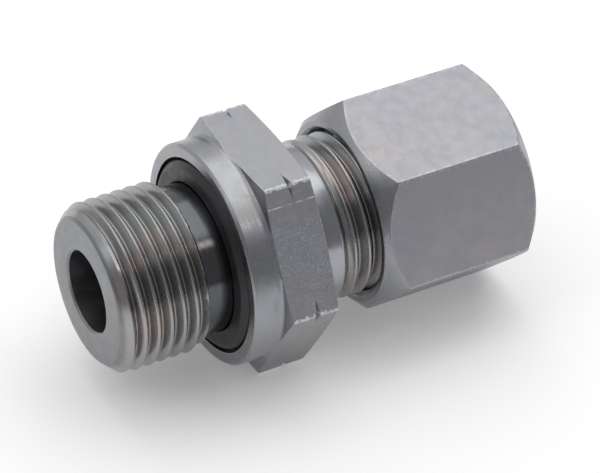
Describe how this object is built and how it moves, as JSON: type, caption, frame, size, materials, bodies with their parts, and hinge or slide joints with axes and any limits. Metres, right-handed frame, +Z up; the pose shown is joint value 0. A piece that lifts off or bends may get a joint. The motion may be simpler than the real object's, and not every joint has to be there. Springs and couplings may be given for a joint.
{
  "type": "straight male tube connector",
  "caption": "Straight male stud connector: soft-sealed pipe-thread stud, marked hexagon body, cutting ring and union nut for a 10 mm tube.",
  "frame": {"origin": "on the axis, in the plane of the metal sealing face that meets the port", "axes": "+X along the axis from the stud to the tube end, +Z up, square to the body hexagon's flat that the connector lies on"},
  "size_m": [0.0432, 0.0254, 0.022],
  "materials": {
    "body_plating": "zinc plated, thin clear passivated, satin",
    "black_elastomer": "moulded, slightly glossy",
    "ring_plating": "zinc plated, thin clear passivated, satin",
    "nut_plating": "zinc plated, thin clear passivated, satin"
  },
  "bodies": {
    "fitting": {"stud_body": "body_plating", "sealing_ring": "black_elastomer"},
    "ring": {"cutting_ring": "ring_plating"},
    "nut": {"union_nut": "nut_plating"}
  },
  "joints": [
    {"name": "nut_travel", "type": "slide", "parent": "fitting", "child": "ring", "axis": [1, 0, 0], "range_m": [-0.0018, 0.00335]},
    {"name": "nut_turn", "type": "hinge", "parent": "ring", "child": "nut", "pos_m": [0.0229, 0, 0], "axis": [1, 0, 0], "range_deg": [-432, 804]}
  ],
  "couplings": [
    {"joint": "nut_travel", "follows": "nut_turn", "m_per_rad": 0.00023873}
  ]
}
